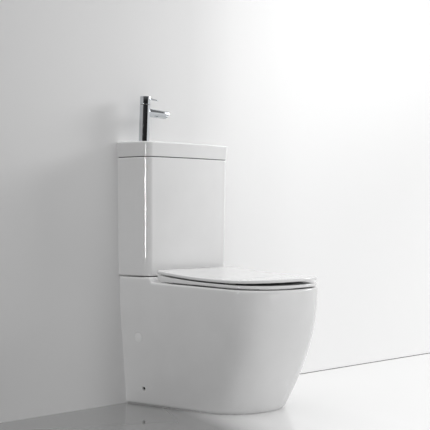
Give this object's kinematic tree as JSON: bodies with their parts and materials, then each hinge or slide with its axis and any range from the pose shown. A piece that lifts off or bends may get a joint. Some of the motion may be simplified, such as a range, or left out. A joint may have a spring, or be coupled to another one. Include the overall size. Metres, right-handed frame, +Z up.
{
  "type": "toilet with hand basin on the cistern",
  "caption": "Back-to-wall toilet with close-coupled cistern, hinged seat and cover, and a hand basin with lever tap set on the cistern.",
  "frame": {"origin": "middle of the footprint, on the floor", "axes": "+Z up, -Y towards the front of the pan, +Y towards the wall, +X to the right seen from the front"},
  "size_m": [0.39, 0.56, 0.9601],
  "materials": {
    "ceramic": "gloss",
    "seat_plastic": "gloss",
    "chrome": "polished",
    "brass": "machined",
    "rubber": "matte",
    "soft_white": "matte",
    "white_plastic": "satin",
    "blue_plastic": "satin",
    "steel": "brushed"
  },
  "bodies": {
    "toilet": {"pan": "ceramic", "cistern": "ceramic", "basin": "ceramic", "basin_seal": "rubber", "hinge_posts": "chrome", "hinge_pins": "chrome", "hinge_studs": "chrome", "hinge_nuts": "white_plastic", "tap_base_ring": "chrome", "tap_body": "chrome", "tap_spout": "chrome", "tap_aerator": "rubber", "tap_cartridge": "white_plastic", "tap_cartridge_nut": "brass", "tap_shank": "brass", "tap_gasket": "rubber", "tap_clamp_plate": "chrome", "tap_nut": "brass", "tap_tails": "steel", "waste_grid": "chrome", "waste_gasket": "rubber", "waste_backnut": "white_plastic", "waste_tailpipe": "white_plastic", "button_housing": "chrome", "full_spring": "steel", "half_spring": "steel", "button_nut": "white_plastic", "flush_cables": "rubber", "flush_valve_body": "white_plastic", "flush_valve_nut": "white_plastic", "coupling_gasket": "rubber", "fill_valve": "white_plastic", "fill_valve_nut": "white_plastic", "fill_valve_gasket": "rubber", "cistern_bolts": "brass", "cistern_bolt_washers": "rubber", "cistern_wing_nuts": "brass", "cistern_pads": "rubber", "floor_brackets": "white_plastic", "bracket_screws": "steel", "side_caps": "seat_plastic"},
    "seat": {"seat_ring": "seat_plastic", "seat_buffers": "soft_white", "seat_damper": "white_plastic"},
    "cover": {"seat_cover": "seat_plastic", "cover_buffers": "soft_white", "cover_damper": "white_plastic"},
    "tap_swivel_part": {"tap_stem": "brass", "tap_handle": "chrome", "tap_handle_screw": "brass"},
    "tap_lever_part": {"tap_lever": "chrome"},
    "valve": {"flush_valve_lift": "blue_plastic", "flush_seal": "rubber"},
    "full_button": {"button_full": "chrome"},
    "half_button": {"button_half": "chrome"},
    "float": {"float_cup": "blue_plastic"}
  },
  "joints": [
    {"name": "seat_hinge", "type": "hinge", "parent": "toilet", "child": "seat", "pos_m": [0, 0.123, 0.4], "axis": [-1, 0, 0], "range_deg": [0, 91]},
    {"name": "cover_hinge", "type": "hinge", "parent": "seat", "child": "cover", "pos_m": [0, 0.123, 0.4], "axis": [1, 0, 0], "range_deg": [-91, 0]},
    {"name": "tap_swivel", "type": "hinge", "parent": "toilet", "child": "tap_swivel_part", "pos_m": [-0.121, 0.235, 0.812], "axis": [0.0454, 0, 0.999], "range_deg": [-45, 45]},
    {"name": "tap_tilt", "type": "hinge", "parent": "tap_swivel_part", "child": "tap_lever_part", "pos_m": [-0.11478, 0.235, 0.94886], "axis": [0, -1, 0], "range_deg": [0, 18]},
    {"name": "valve_lift", "type": "slide", "parent": "toilet", "child": "valve", "axis": [0, 0, 1], "range_m": [0, 0.03]},
    {"name": "full_button_press", "type": "slide", "parent": "toilet", "child": "full_button", "axis": [0, 0, -1], "range_m": [0, 0.005], "stiffness_N_per_m": 200, "springref_m": -0.002, "deforming": ["full_spring"]},
    {"name": "half_button_press", "type": "slide", "parent": "toilet", "child": "half_button", "axis": [0, 0, -1], "range_m": [0, 0.005], "stiffness_N_per_m": 200, "springref_m": -0.002, "deforming": ["half_spring"]},
    {"name": "float_slide", "type": "slide", "parent": "toilet", "child": "float", "axis": [0, 0, 1], "range_m": [0, 0.12]}
  ],
  "couplings": [
    {"joint": "full_button_press", "follows": "valve_lift", "ratio": 0.166}
  ]
}
